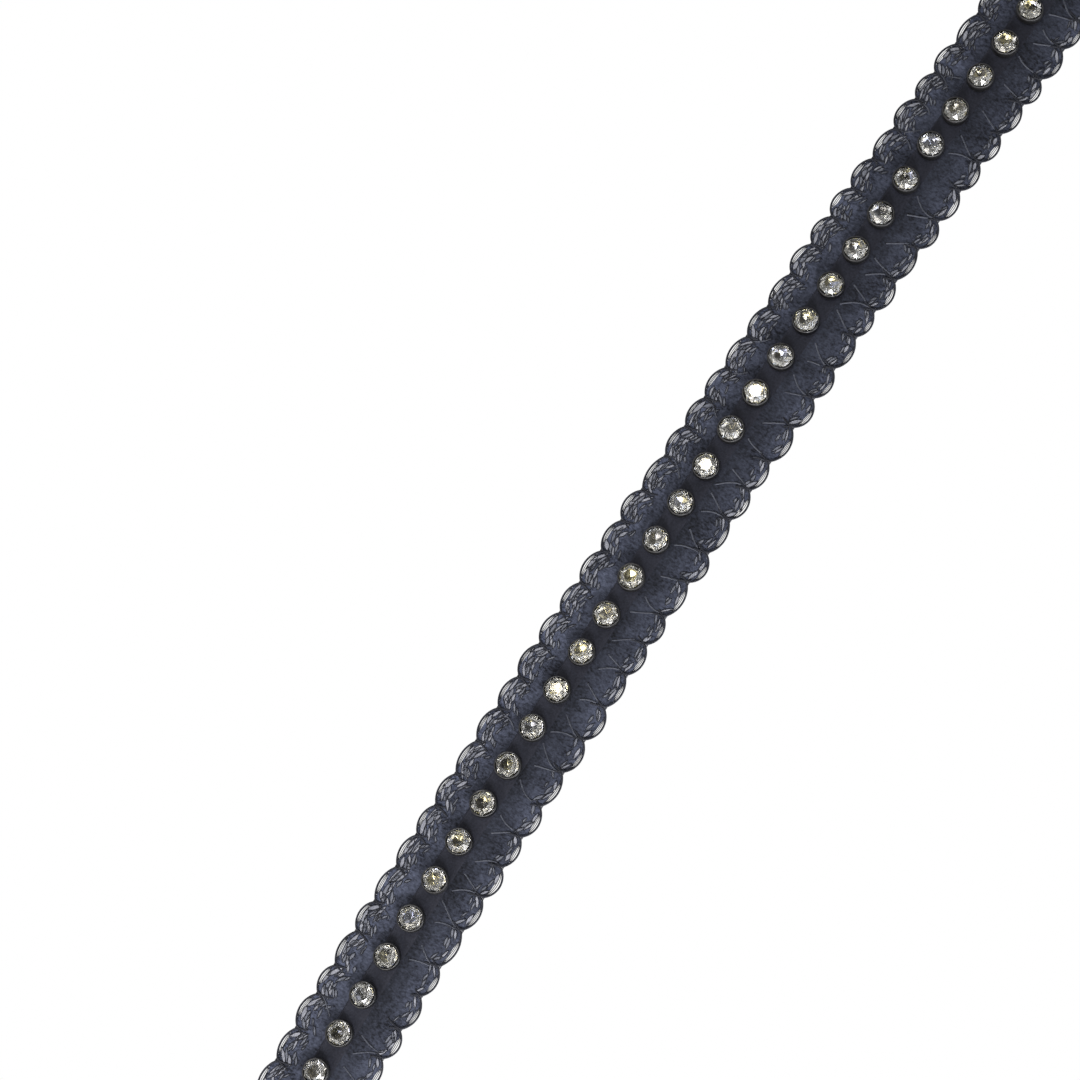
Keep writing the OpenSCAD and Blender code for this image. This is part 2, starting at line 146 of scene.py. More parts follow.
def tubes(lines, radius, sides=5):
    """Points and faces of round threads along each line, given in flat strap coordinates."""
    verts, faces, base = [], [], 0
    turn = np.linspace(0, 2 * np.pi, sides, endpoint=False)
    for line in lines:
        line = np.asarray(line, float)
        tangent = np.gradient(line, axis=0)
        tangent /= np.linalg.norm(tangent, axis=1)[:, None]
        across = np.cross(tangent, (0.0, 0.0, 1.0))
        across /= np.linalg.norm(across, axis=1)[:, None]
        up = np.cross(across, tangent)
        ring = (line[:, None, :] + radius * (np.cos(turn)[None, :, None] * across[:, None, :]
                                             + np.sin(turn)[None, :, None] * up[:, None, :]))
        verts.append(ring.reshape(-1, 3))
        faces.append(ring_faces(len(line), sides, base))
        base += len(line) * sides
    return np.concatenate(verts), np.concatenate(faces)


# ---------------------------------------------------------------- materials
def nodes_of(name):
    """A new material, its node tree and its shader."""
    mat = bpy.data.materials.new(name)
    mat.use_nodes = True
    tree = mat.node_tree
    return mat, tree, tree.nodes["Principled BSDF"]


def add(tree, kind, links=(), **values):
    """A node with its settings; a links entry is (input name, from socket)."""
    node = tree.nodes.new(kind)
    for key, value in values.items():
        if hasattr(node, key) and key not in node.inputs:
            setattr(node, key, value)
        else:
            node.inputs[key].default_value = value
    for key, socket in links:
        tree.links.new(socket, node.inputs[key])
    return node


def ramp(tree, source, stops):
    """A colour ramp over source; stops are (place, colour)."""
    node = tree.nodes.new("ShaderNodeValToRGB")
    tree.links.new(source, node.inputs["Fac"])
    while len(node.color_ramp.elements) < len(stops):
        node.color_ramp.elements.new(0.5)
    for element, (place, colour) in zip(node.color_ramp.elements, stops):
        element.position = place
        element.color = colour
    return node


def bump(tree, shader, height, distance, strength=1.0):
    node = add(tree, "ShaderNodeBump", [("Height", height)], Distance=distance, Strength=strength)
    tree.links.new(node.outputs["Normal"], shader.inputs["Normal"])
    return node


def cloth(name, dark, light, grain, sheen, rough, bump_mm=0.03, painted_shading=None, drawn=(1, 1, 1)):
    """Dull thread or fabric: fine grain, drawn out into fibres along an axis whose number is below 1.

    Where painted shading is given, the colour is also multiplied by a factor that varies with the height on
    the
    browband: painted shade, darkest beside the row of stones, and painted light towards the lace's edges;
    its entries are (height in mm from the row of stones, factor).
    """
    mat, tree, shader = nodes_of(name)
    place = add(tree, "ShaderNodeTexCoord")
    fibres = add(tree, "ShaderNodeVectorMath", [(0, place.outputs["Object"])], operation="MULTIPLY")
    fibres.inputs[1].default_value = drawn
    fine = add(tree, "ShaderNodeTexNoise", [("Vector", fibres.outputs[0])], Scale=grain, Detail=3.0,
               Roughness=0.65, Distortion=0.0 if drawn == (1, 1, 1) else 0.3)
    broad = add(tree, "ShaderNodeTexNoise", [("Vector", place.outputs["Object"])], Scale=grain / 14,
                Detail=2.0)
    both = add(tree, "ShaderNodeMath", operation="MULTIPLY_ADD")
    tree.links.new(fine.outputs["Fac"], both.inputs[0])
    both.inputs[1].default_value = 0.65
    tree.links.new(add_scaled(tree, broad.outputs["Fac"], 0.35), both.inputs[2])
    colour = ramp(tree, both.outputs[0], [(0.36, dark), (0.66, light)]).outputs["Color"]
    # painted shade beside the stones and painted light towards the edges, set by height on the browband
    # alone
    if painted_shading:
        height = add(tree, "ShaderNodeSeparateXYZ", [("Vector", place.outputs["Object"])])
        share = add(tree, "ShaderNodeMapRange", [("Value", height.outputs["Z"])])
        share.inputs["From Min"].default_value = (BROW_Z - SHADE_SPAN) * MM
        share.inputs["From Max"].default_value = (BROW_Z + SHADE_SPAN) * MM
        # a ramp's colours end at 1, so the factors are halved here and doubled after it
        shade = ramp(tree, share.outputs[0], [((v + SHADE_SPAN) / (2 * SHADE_SPAN), grey(factor / 2))
                                              for v, factor in painted_shading])
        double = add(tree, "ShaderNodeVectorMath", [(0, colour)], operation="SCALE", Scale=2.0)
        tinted = add(tree, "ShaderNodeVectorMath", [(0, double.outputs[0]), (1, shade.outputs["Color"])],
                     operation="MULTIPLY")
        colour = tinted.outputs[0]
    tree.links.new(colour, shader.inputs["Base Color"])
    shader.inputs["Roughness"].default_value = rough
    shader.inputs["Specular IOR Level"].default_value = 0.35
    shader.inputs["Sheen Weight"].default_value = sheen
    shader.inputs["Sheen Roughness"].default_value = 0.4
    bump(tree, shader, fine.outputs["Fac"], bump_mm * MM)
    return mat


def add_scaled(tree, socket, factor):
    node = add(tree, "ShaderNodeMath", operation="MULTIPLY")
    tree.links.new(socket, node.inputs[0])
    node.inputs[1].default_value = factor
    return node.outputs[0]


def leather(name, dark, light, rough, pebble=900.0, depth=0.06, coat=0.15):
    """Finished leather: pebbled grain with fine pores, and gloss that varies from place to place."""
    mat, tree, shader = nodes_of(name)
    place = add(tree, "ShaderNodeTexCoord").outputs["Object"]
    cells = add(tree, "ShaderNodeTexVoronoi", [("Vector", place)], feature="DISTANCE_TO_EDGE", Scale=pebble)
    flat = ramp(tree, cells.outputs["Distance"], [(0.0, grey(0)), (0.12, grey(1))])
    pores = add(tree, "ShaderNodeTexNoise", [("Vector", place)], Scale=pebble * 3, Detail=4.0)
    wear = add(tree, "ShaderNodeTexNoise", [("Vector", place)], Scale=60.0, Detail=5.0)
    height = add(tree, "ShaderNodeMath", [(0, flat.outputs["Color"]), (1, pores.outputs["Fac"])],
                 operation="ADD")
    bump(tree, shader, height.outputs[0], depth * MM, 0.7)
    colour = ramp(tree, wear.outputs["Fac"], [(0.35, dark), (0.7, light)])
    tree.links.new(colour.outputs["Color"], shader.inputs["Base Color"])
    gloss = ramp(tree, wear.outputs["Fac"], [(0.3, grey(rough - 0.06)), (0.75, grey(rough + 0.1))])
    tree.links.new(gloss.outputs["Color"], shader.inputs["Roughness"])
    shader.inputs["Specular IOR Level"].default_value = 0.3
    shader.inputs["Coat Weight"].default_value = coat
    shader.inputs["Coat Roughness"].default_value = 0.24
    return mat


def metal(name, colour, rough, scratch=0.004):
    """Polished metal with hairline scratches and slight smears."""
    mat, tree, shader = nodes_of(name)
    place = add(tree, "ShaderNodeTexCoord").outputs["Object"]
    stretch = add(tree, "ShaderNodeMapping", [("Vector", place)])
    stretch.inputs["Scale"].default_value = (1.0, 1.0, 14.0)
    hair = add(tree, "ShaderNodeTexNoise", [("Vector", stretch.outputs[0])], Scale=500.0, Detail=6.0)
    smear = add(tree, "ShaderNodeTexNoise", [("Vector", place)], Scale=70.0, Detail=3.0)
    bump(tree, shader, hair.outputs["Fac"], scratch * MM, 0.5)
    gloss = ramp(tree, smear.outputs["Fac"], [(0.3, grey(rough * 0.7)), (0.7, grey(rough * 1.6))])
    tree.links.new(gloss.outputs["Color"], shader.inputs["Roughness"])
    shader.inputs["Base Color"].default_value = colour
    shader.inputs["Metallic"].default_value = 1.0
    return mat


BLACK_LEATHER = leather("black_leather", srgb(16, 16, 18), srgb(29, 29, 32), 0.36)
SOFT_LEATHER = leather("soft_black_leather", srgb(20, 20, 22), srgb(32, 32, 35), 0.5, 1300.0, 0.05, 0.0)
NAVY_LEATHER = leather("navy_leather", srgb(40, 42, 54), srgb(56, 59, 74), 0.42, 1100.0, 0.03, 0.1)
# the fabric's colour holds painted shade beside the stones and painted light towards the lace's edges
FABRIC = cloth("lace_fabric", srgb(18, 21, 32), srgb(88, 94, 115), 3000.0, 0.1, 0.85, drawn=(1, 1, 0.62),
               painted_shading=[(-7.0, 2.0), (-5.0, 1.68), (-3.8, 1.34), (-1.8, 0.94), (1.4, 0.5), (2.9, 0.58),
                       (4.2, 0.78), (5.6, 1.0), (7.4, 1.4)])
THREAD = cloth("lace_thread", srgb(24, 26, 36), srgb(52, 55, 68), 4200.0, 0.2, 0.6, 0.04)
RIB = cloth("lace_rib", srgb(66, 70, 84), srgb(104, 108, 122), 3500.0, 0.1, 0.6, 0.04)
OPEN = cloth("lace_open_mesh", srgb(128, 131, 145), srgb(192, 195, 208), 4200.0, 0.1, 0.8, 0.02)
CLOSE = cloth("lace_close_mesh", srgb(98, 102, 116), srgb(148, 152, 166), 4200.0, 0.1, 0.8, 0.02)
RIBBON = cloth("centre_ribbon", srgb(30, 32, 44), srgb(54, 56, 70), 3600.0, 0.1, 0.7, 0.02)
STITCH = cloth("stitching", srgb(104, 104, 106), srgb(168, 168, 168), 3800.0, 0.2, 0.7, 0.05)
STEEL = metal("polished_steel", (0.48, 0.48, 0.49, 1), 0.15)
CUP = metal("cup_metal", (0.1, 0.1, 0.105, 1), 0.36)


def glass():
    """The stones' clear glass."""
    mat, _, shader = nodes_of("crystal_glass")
    shader.inputs["Base Color"].default_value = (1, 1, 1, 1)
    shader.inputs["Roughness"].default_value = 0.14
    shader.inputs["IOR"].default_value = 1.5
    shader.inputs["Transmission Weight"].default_value = 1.0
    shader.inputs["Coat Weight"].default_value = 1.0
    shader.inputs["Coat Roughness"].default_value = 0.03
    shader.inputs["Coat IOR"].default_value = 1.6
    return mat


def foil():
    """The mirror behind each stone, its colour painted in patches of cold and warm light and of shadow:
    painted reflections.
    """
    mat, tree, shader = nodes_of("crystal_foil")
    place = add(tree, "ShaderNodeTexCoord").outputs["Object"]
    # painted reflections: cells of cold and warm light and of shadow set in the foil's colour
    painted_reflection_cells = add(tree, "ShaderNodeTexVoronoi", [("Vector", place)], Scale=560.0)
    colour = ramp(tree, painted_reflection_cells.outputs["Color"], [
        (0.2, srgb(60, 56, 40)), (0.34, srgb(214, 222, 255)), (0.44, srgb(70, 68, 60)),
        (0.6, srgb(255, 246, 196)), (0.72, srgb(96, 88, 60)), (0.85, srgb(40, 40, 40))])
    tree.links.new(colour.outputs["Color"], shader.inputs["Base Color"])
    shader.inputs["Metallic"].default_value = 1.0
    shader.inputs["Roughness"].default_value = 0.06
    return mat


GLASS, FOIL = glass(), foil()

# ---------------------------------------------------------------- CAD nodes keep their shape
LOOKS = {"leather": BLACK_LEATHER, "padding": SOFT_LEATHER, "buckle_steel": STEEL, "bit_steel": STEEL,
         "navy_leather": NAVY_LEATHER, "lace": FABRIC, "ribbon": RIBBON, "cup_metal": CUP, "crystal": GLASS}
SOFT_EDGED = ("leather", "navy_leather", "buckle_steel", "padding")
for part in frame["record"]["subparts"]:
    obj = nodes[part["node"]]
    obj.data.materials.clear()
    obj.data.materials.append(LOOKS[part["material_slot"]])
    if part["material_slot"] in SOFT_EDGED:
        soft = obj.modifiers.new("soft_edges", "BEVEL")
        soft.width = 0.45 * MM
        soft.segments = 3
        soft.limit_method = "ANGLE"
        soft.angle_limit = math.radians(50)
        obj.data.polygons.foreach_set("use_smooth", [True] * len(obj.data.polygons))
        obj.modifiers.new("flat_faces", "WEIGHTED_NORMAL")

# ---------------------------------------------------------------- browband coordinates
LINING_T, CORE_T = 1.5, 3.0
BROW_Y = CORE_LOW.y / MM + LINING_T + CORE_T
BROW_FRONT, BROW_R, CORNER_R = 102.8, 420, 35
BACK, BACK_RUN = 96, 41             # the heading of the sides in degrees, and their length
BROW_TURN = math.degrees(BROW_FRONT / BROW_R)
CORNER_TURN = BACK - BROW_TURN
BROW = Route((0, BROW_Y, 0), [(BROW_FRONT, BROW_TURN), (math.radians(CORNER_TURN) * CORNER_R, CORNER_TURN),
                              (BACK_RUN, 0)])
FACE = LINING_T + CORE_T            # where the lace lies, out from the inner face
LACE_END = 190.5                    # how far the lace reaches from the middle
PITCH = 6.25                        # from stone to stone
STONES = 30                         # stones on each side of the middle one


def on_brow(flat):
    """World points in metres from (distance along, height, distance out from the inner face) in mm."""
    flat = np.asarray(flat, float)
    x, y, heading = BROW.at(np.abs(flat[:, 0]))
    side = np.sign(flat[:, 0]) + (flat[:, 0] == 0)
    return np.stack([side * (x + flat[:, 2] * np.sin(heading)), y - flat[:, 2] * np.cos(heading),
                     BROW_Z + flat[:, 1]], -1) * MM


# ---------------------------------------------------------------- lace
SCALLOP = 5.25                      # mean length of a scallop
NOTCH = {1: 6.72, -1: 5.72}         # height of the notches on the upper and lower edge
TIP = {1: 1.25, -1: 1.2}            # how far a scallop stands out past them
COUNT = int(2 * LACE_END / SCALLOP)
EDGE_R = 0.15                       # radius of the thread round the scallops
NET_R, RIB_R = 0.055, 0.12
INSET = 0.08                        # how far the fabric and the net stay inside that thread's middle
ON_FABRIC = 0.035                   # how far eyes and ribs stand off the fabric
# nested eyes behind each edge's crescents: (depth, most in a scallop, length, width, kind)
EYE_ROWS = {-1: [(0.9, 3, 2.3, 0.6, "open"), (1.42, 4, 2.0, 0.56, "close"), (1.95, 4, 1.8, 0.48, "open"),
                 (2.45, 3, 1.6, 0.42, "close"), (3.0, 3, 1.3, 0.34, "close")],
            1: [(0.9, 3, 1.9, 0.46, "open"), (1.4, 3, 1.6, 0.4, "close"), (1.9, 2, 1.3, 0.34, "close")]}


def lace_height(v):
    """How far out the lace lies at height v: flat over the core, falling away past its edges."""
    return FACE + 0.38 - 0.012 * np.abs(v) - 0.22 * np.clip(np.abs(v) - 6.0, 0, None) ** 1.3


def fabric_height(v):
    """How far out the close fabric lies at height v, a little under the threads."""
    return lace_height(v) - 0.1


notches, bows, gaps = {}, {}, {}
for edge in (1, -1):
    shift = 0.0 if edge == 1 else 0.45 * SCALLOP
    at = -LACE_END + shift + SCALLOP * np.arange(COUNT + 1)
    at[1:-1] += rng.uniform(-0.42, 0.42, COUNT - 1)
    notches[edge] = at[at <= LACE_END]
    bows[edge] = TIP[edge] * (1 + rng.uniform(-0.16, 0.18, COUNT + 1))
    # each scallop's open crescent: where it starts and ends across the scallop, and its width
    gaps[edge] = np.stack([rng.uniform(0.06, 0.24, COUNT + 1), rng.uniform(0.76, 0.94, COUNT + 1),
                           rng.uniform(0.42, 0.72, COUNT + 1)], -1)


def scallop_of(edge, s):
    """Which scallop holds each distance s, and how far across it that is."""
    k = np.clip(np.searchsorted(notches[edge], s) - 1, 0, len(notches[edge]) - 2)
    a, b = notches[edge][k], notches[edge][k + 1]
    return k, np.clip((s - a) / (b - a), 0, 1), b - a


def edge_height(edge, s):
    """Height of the scalloped edge at each distance s: arcs of circles that meet in the notches."""
    k, t, chord = scallop_of(edge, s)
    bow, half = bows[edge][k], chord / 2
    radius = (half ** 2 + bow ** 2) / (2 * bow)
    return NOTCH[edge] + np.sqrt(radius ** 2 - (half * (2 * t - 1)) ** 2) - (radius - bow)


def fabric_edge(edge, s):
    """How far the close fabric reaches at distance s: short of the edge where the crescent is open."""
    k, t, chord = scallop_of(edge, s)
    first, last, width = gaps[edge][k].T
    inside = np.clip((t - first) / (last - first), 0, 1)
    return edge_height(edge, s) - INSET - width * np.sin(np.pi * inside) ** 0.75


def lens(length, width, n=7):
    """Outline of a flat eye, pointed at both ends."""
    x = np.linspace(-1, 1, n)
    y = 1 - x ** 2
    top = np.stack([x * length / 2, y * width / 2], -1)
    return np.concatenate([top, (top * (1, -1))[-2:0:-1]])


outline, fine_net, ribs = [], [], []
eyes = {"open": ([], []), "close": ([], [])}
for edge in (1, -1):
    for k in range(len(notches[edge]) - 1):
        a, b = notches[edge][k], notches[edge][k + 1]
        chord = b - a
        s = np.linspace(a, b, 22)[1:-1]
        v = edge_height(edge, s)
        arch = np.stack([s, edge * v, lace_height(v) + 0.06], -1)
        # the thread runs on inwards from both notches and sinks into the fabric
        root = rng.uniform(0.9, 2.2, 2)
        for end, way, inner, where in ((a, 1, root[0], 0), (b, -1, root[1], 1)):
            t = np.linspace(1, 0, 8)[:-1] if where == 0 else np.linspace(0, 1, 8)[1:]
            leg_v = NOTCH[edge] - inner * t
            leg = np.stack([end + way * (0.04 + 0.5 * t ** 1.7), edge * leg_v,
                            fabric_height(leg_v) + 0.1 - 0.16 * t], -1)
            arch = np.concatenate([leg, arch] if where == 0 else [arch, leg])
        outline.append(arch)
        # threads that cross the open crescent
        first, last, width = gaps[edge][k]
        for share in (0.4, 0.75):
            t = np.linspace(first + 0.03, last - 0.03, 12)
            s = a + chord * t
            inside = (t - first) / (last - first)
            v = edge_height(edge, s) - INSET - width * share * np.sin(np.pi * inside) ** 0.6
            fine_net.append(np.stack([s, edge * v, lace_height(v)], -1))
        for depth, most, long, wide, kind in EYE_ROWS[edge]:
            count = int(rng.integers(max(1, most - 1), most + 1))
            for i in range(count):
                t = np.clip((i + 0.5) / count + rng.uniform(-0.16, 0.16), 0.16, 0.84)
                s0 = a + chord * t
                v0 = float(edge_height(edge, np.array([s0]))[0]) - depth - rng.uniform(-0.14, 0.2)
                shape = lens(long * rng.uniform(0.7, 1.3), wide * rng.uniform(0.7, 1.25))
                slope = -(2 * t - 1) * 0.8 + rng.uniform(-0.3, 0.3)
                turned = np.stack([shape[:, 0] * math.cos(slope) - shape[:, 1] * math.sin(slope),
                                   shape[:, 0] * math.sin(slope) + shape[:, 1] * math.cos(slope)], -1)
                v = v0 + turned[:, 1]
                flat = np.stack([s0 + turned[:, 0], edge * v, fabric_height(v) + ON_FABRIC], -1)
                verts, faces = eyes[kind]
                order = list(range(len(verts), len(verts) + len(flat)))
                faces.append(order if edge == 1 else order[::-1])
                verts.extend(flat)
                loop = np.concatenate([flat, flat[:2]])
                loop[:, 2] += 0.03
                fine_net.append(loop)
        # faint ribs that run from the ribbon to the notch
        if edge == 1 or rng.uniform() < 0.45:
            for way in (1, -1):
                if rng.uniform() < (0.72 if edge == 1 else 0.4):
                    t = np.linspace(rng.uniform(0.05, 0.3), rng.uniform(0.75, 1.0), 9)
                    v = 2.0 + (NOTCH[edge] - 2.6) * t
                    s = b + way * (1.9 * (1 - t) ** 1.6 + 0.1) + 0.35 * np.sin(3.0 * t + k)
                    ribs.append(np.stack([s, edge * v, fabric_height(v) + ON_FABRIC], -1))


def lace_piece(name, shape, material):
    """A piece of the lace from its points, in strap coordinates, and faces."""
    return piece(name, on_brow(shape[0]), shape[1], material, "browband")


edge_piece = lace_piece("lace_outline", tubes(outline, EDGE_R, 6), THREAD)
net_piece = lace_piece("lace_net", tubes(fine_net, NET_R, 4), THREAD)
rib_piece = lace_piece("lace_ribs", tubes(ribs, RIB_R, 4), RIB)
open_piece = lace_piece("lace_open_eyes", eyes["open"], OPEN)
close_piece = lace_piece("lace_close_eyes", eyes["close"], CLOSE)


def petal_fabric():
    """The lace's close fabric, one sheet that ends in scallops, and its flat area in square metres.

    A shallow fold runs inwards from each notch.
    """
    s = np.linspace(-LACE_END, LACE_END, 3600)
    u = np.linspace(-1, 1, 41)
    high, low = fabric_edge(1, s), fabric_edge(-1, s)
    S, U = np.meshgrid(s, u, indexing="ij")
    V = np.where(U > 0, U * high[:, None], U * low[:, None])
    fold = np.zeros_like(V)
    for edge in (1, -1):
        k, t, chord = scallop_of(edge, s)
        near = np.exp(-(np.minimum(t, 1 - t) * 9) ** 2)
        out = np.clip((edge * V - 3.2) / 2.6, 0, 1)
        fold += near[:, None] * out * 0.1
    H = fabric_height(V) - fold
    flat = np.stack([S, V, H], -1).reshape(-1, 3)
    sheet = piece("lace_fabric_sheet", on_brow(flat), grid_faces(*S.shape), FABRIC, "browband")
    width = np.hypot(np.diff(V, axis=1), np.diff(H, axis=1)).sum(1).mean()
    return sheet, float(width * 2 * LACE_END / 1e6)


fabric, fabric_area = petal_fabric()
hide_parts("browband_lace")


def centre_ribbon():
    """The narrow ribbon under the stones, with the soft upper edge given by its profile (height, rise)."""
    s = np.linspace(-LACE_END, LACE_END, 1000)
    profile = [(-1.62, -0.1), (-1.6, 0.04), (-1.3, 0.08), (-1.2, 0.04), (0, 0.1), (1.2, 0.05), (1.5, 0.04),
               (1.8, 0.0), (2.2, -0.14)]
    flat = np.array([(one, v, FACE + 0.3 + h) for one in s for v, h in profile])
    faces = grid_faces(len(s), len(profile))
    return piece("centre_ribbon", on_brow(flat), faces, RIBBON, "browband")


ribbon = centre_ribbon()
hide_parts("browband_ribbon")


# ---------------------------------------------------------------- stones and cups
def lathe_points(profile, n, turn=0.0):
    """Rings of n points, one for each (radius, height) of the profile."""
    a = np.linspace(0, 2 * np.pi, n, endpoint=False) + turn
    return np.array([(r * math.cos(t), r * math.sin(t), h) for r, h in profile for t in a])


SEAT = FACE + 0.5                   # how far out the cups stand
CUT, SHELL, CUP_SIDES = 6, 6, 28    # sides of the stones' cut, of the foil behind them and of the cups
cup_verts, cup_faces, gem_verts, gem_faces, foil_verts, foil_faces = [], [], [], [], [], []
base = {"cup": 0, "gem": 0, "foil": 0}
CUP_PROFILE = [(1.7, -0.05), (1.93, 0.05), (2.0, 0.4), (1.98, 1.0), (1.93, 1.36), (1.85, 1.46), (1.74, 1.44),
               (1.69, 1.36), (1.72, 1.2), (1.68, 0.3)]
for i in range(-STONES, STONES + 1):
    here = np.array([i * PITCH, 0.0, SEAT])
    tip = rng.uniform(-0.09, 0.09, 2)
    turn = rng.uniform(0, 2 * np.pi)

    def placed(points):
        """The points at this stone's place, tilted as it is."""
        points = np.array(points, float)
        points[:, 2] += points[:, 0] * tip[0] + points[:, 1] * tip[1]
        return here + points

    ring = lathe_points(CUP_PROFILE, CUP_SIDES)
    cup_verts.append(placed(ring))
    cup_faces.append(ring_faces(len(CUP_PROFILE), CUP_SIDES, base["cup"]))
    base["cup"] += len(ring)
    # table, star, kite and girdle facets above the girdle, and two rows of facets and the culet below it
    table = lathe_points([(0.95, 2.05)], CUT, turn)
    kite = lathe_points([(1.32, 1.8)], CUT, turn + np.pi / CUT)
    girdle = lathe_points([(1.68, 1.36)], 2 * CUT, turn)
    pavilion = lathe_points([(0.95, 0.72)], CUT, turn + np.pi / CUT)
    culet = np.array([(0.0, 0.0, 0.2)])
    gem_verts.append(placed(np.concatenate([table, kite, girdle, pavilion, culet])))
    # the numbers of the first point of each ring, and of the culet
    T = base["gem"]
    K, G, P, C = T + CUT, T + 2 * CUT, T + 4 * CUT, T + 5 * CUT
    gem_faces.append([T + t for t in range(CUT)])
    for t in range(CUT):
        n, g0, g1 = (t + 1) % CUT, G + 2 * t, G + 2 * t + 1
        g2 = G + 2 * n
        gem_faces += [[T + t, K + t, T + n], [T + t, K + (t - 1) % CUT, g0], [T + t, g0, K + t],
                      [K + t, g0, g1], [K + t, g1, g2],
                      [g0, P + t, g1], [g1, P + t, g2], [g2, P + t, P + n], [P + t, C, P + n]]
    base["gem"] += 5 * CUT + 1
    shell = lathe_points([(1.72, 1.3), (1.0, 0.62)], SHELL, turn + np.pi / SHELL)
    foil_verts.append(placed(np.concatenate([shell, [(0.0, 0.0, 0.1)]])))
    f = base["foil"]
    foil_faces += ring_faces(2, SHELL, f).tolist()
    foil_faces += [[f + SHELL + t, f + SHELL + (t + 1) % SHELL, f + 2 * SHELL] for t in range(SHELL)]
    base["foil"] += 2 * SHELL + 1

cups = piece("stone_cups", on_brow(np.concatenate(cup_verts)), np.concatenate(cup_faces), CUP,
             "browband")
gems = piece("stones", on_brow(np.concatenate(gem_verts)), gem_faces, GLASS,
             "browband", smooth=False)
piece("stone_foils", on_brow(np.concatenate(foil_verts)), foil_faces, FOIL,
      "browband", smooth=False)
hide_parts("browband_cups")
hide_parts("browband_crystals")

# ---------------------------------------------------------------- crown and noseband coordinates
INNER_B, OUTER_B = 4.5, 8.4         # outer faces of the lower and the upper strap
CROWN_R, SHOULDER_R, CHEEK_RUN = 138, 65, 300
CROWN = Route((0, 0, 0), [(math.radians(50) * CROWN_R, -50), (math.radians(30) * SHOULDER_R, -30),
                          (math.radians(18) * SHOULDER_R, -18), (CHEEK_RUN, 0)])
CROWN_END, SIDE_AT = CROWN.ends[1], CROWN.ends[2]
NOSE_X, NOSE_Z = 78.5, -360
BRIDGE_R = 80                       # of the noseband over the bridge of the nose
NOSE_R = NOSE_X * 2 - BRIDGE_R      # of its two sides
NOSE = Route((NOSE_X, -36, -90), [(math.radians(60) * r, -60) for r in (NOSE_R, BRIDGE_R, NOSE_R)])


def on_crown(flat):
    """World points in metres from (distance from the poll, y, distance out from the inner face) in mm."""
    flat = np.asarray(flat, float)
    x, z, heading = CROWN.at(np.abs(flat[:, 0]))
    side = np.where(flat[:, 0] < 0, -1, 1)
    return np.stack([side * (x - flat[:, 2] * np.sin(heading)), flat[:, 1],
                     z + flat[:, 2] * np.cos(heading)], -1) * MM


def on_nose(flat):
    """The same for the front of the noseband, from (distance along, height, distance out)."""
    flat = np.asarray(flat, float)
    x, y, heading = NOSE.at(flat[:, 0])
    return np.stack([x - flat[:, 2] * np.sin(heading), y + flat[:, 2] * np.cos(heading),
                     NOSE_Z + flat[:, 1]], -1) * MM


def in_world(flat):
    """World points in metres from world points in mm."""
    return np.asarray(flat, float) * MM


def stitch_row(start, end, way=(0, 0, 1), pitch=3.3, length=2.3):
    """Short threads from start to end in strap coordinates, each standing up a little along way."""
    start, end, way = np.array(start, float), np.array(end, float), np.array(way, float)
    run = np.linalg.norm(end - start)
    count = int(run / pitch)
    step = (end - start) / run
    t = np.linspace(-0.5, 0.5, 6)
    rise = 0.13 - 6 * t ** 4
    return [start + step * (pitch * (i + 0.5)) + step * length * t[:, None] + way * rise[:, None]
            for i in range(count)]


def sew(name, rows, mapping, body, radius=0.24):
    """One piece of all the threads in rows, laid on a strap by its mapping."""
    verts, faces = tubes([line for row in rows for line in row], radius)
    piece(name, mapping(verts), faces, STITCH, body)


END_ROLL = 3.5                      # length over which a pad's end closes


def padded_strip(name, mapping, along, across, inner, outer, seams, depth, body):
    """A stuffed leather strip: rolled edges, stitched channels, and ends that are drawn in.

    inner and outer are its faces' distances out, seams the channels' places across and depth theirs.
    """
    s0, s1 = along
    w0, w1 = across
    half = (outer - inner) / 2
    roll = END_ROLL * (1 - np.cos(np.linspace(0, np.pi / 2, 7)[:-1]))
    s = np.concatenate([s0 + roll, np.linspace(s0 + END_ROLL, s1 - END_ROLL, int((s1 - s0) / 2.0)),
                        (s1 - roll)[::-1]])
    round_w = half * (1 - np.cos(np.linspace(0, np.pi / 2, 6)))
    w = np.concatenate([w0 + round_w[:-1], np.linspace(w0 + half, w1 - half, 44), (w1 - round_w[:-1])[::-1]])
    edge = np.minimum(w - w0, w1 - w)
    swell = np.sqrt(np.clip(1 - (1 - np.clip(edge, 0, half) / half) ** 2, 0, 1))
    dip = sum(depth * np.exp(-((w - seam) / 0.8) ** 2) for seam in seams)
    end = np.minimum(s - s0, s1 - s)
    close = np.sqrt(np.clip(1 - (1 - np.clip(end, 0.0, END_ROLL) / END_ROLL) ** 2, 0, 1)) * 0.96 + 0.04
    ripple = 0.1 * (np.sin(s[:, None] * 0.31 + 2.0 * np.sin(w[None, :] * 0.21))
                    * np.sin(s[:, None] * 0.13 + 1.0))
    top = half * swell[None, :] * close[:, None] - dip[None, :] * close[:, None]
    hollow = dip[None, :] + 0.1 + ripple * np.clip(edge / 4, 0, 1)
    low = np.minimum((hollow - half * swell[None, :]) * close[:, None], top - 0.02)
    W = (w0 + w1) / 2 + (w[None, :] - (w0 + w1) / 2) * (0.93 + 0.07 * close[:, None])
    S = np.repeat(s[:, None], len(w), 1)
    middle = (inner + outer) / 2
    upper = np.stack([S, W, middle + top], -1)
    under = np.stack([S, W, middle + low], -1)[:, ::-1]
    ring = np.concatenate([upper, under], 1)
    n, m = ring.shape[:2]
    faces = ring_faces(n, m).tolist() + [list(range(m))[::-1], list(range((n - 1) * m, n * m))]
    pad = piece(name, mapping(ring.reshape(-1, 3)), faces, SOFT_LEATHER, body)
    return pad


